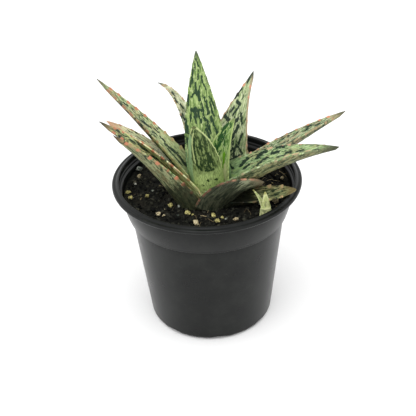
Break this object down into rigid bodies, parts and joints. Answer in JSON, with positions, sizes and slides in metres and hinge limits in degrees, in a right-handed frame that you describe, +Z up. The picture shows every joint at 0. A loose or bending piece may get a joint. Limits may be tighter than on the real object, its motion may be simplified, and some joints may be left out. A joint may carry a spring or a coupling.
{
  "type": "potted aloe",
  "caption": "Small spotted aloe with toothed leaves and a pup, growing in potting mix that fills a tapered plastic nursery pot with a wide rim.",
  "frame": {"origin": "middle of the pot's flat underside, on the surface that it stands on", "axes": "+Z up; -Y towards the plant's front, where the lowest leaf bases and the pup are; +X to its right"},
  "size_m": [0.1468, 0.1138, 0.1629],
  "materials": {
    "pot_plastic": "satin",
    "potting_mix": "matte",
    "stem": "matte",
    "leaf": "satin",
    "offset_leaf": "satin"
  },
  "bodies": {
    "root": {"pot": "pot_plastic", "potting_mix": "potting_mix", "stem_and_roots": "stem", "leaf_young_left": "leaf", "leaf_young_right": "leaf", "leaf_tall_back": "leaf", "leaf_back_right": "leaf", "leaf_back_left": "leaf", "leaf_left_long": "leaf", "leaf_right_upper": "leaf", "leaf_left_pale": "leaf", "leaf_right_lower": "leaf", "leaf_left_dark": "leaf", "leaf_left_low": "leaf", "leaf_front_curl": "leaf", "leaf_low_right": "leaf", "offset_leaf_tall": "offset_leaf", "offset_leaf_small": "offset_leaf"}
  },
  "joints": []
}
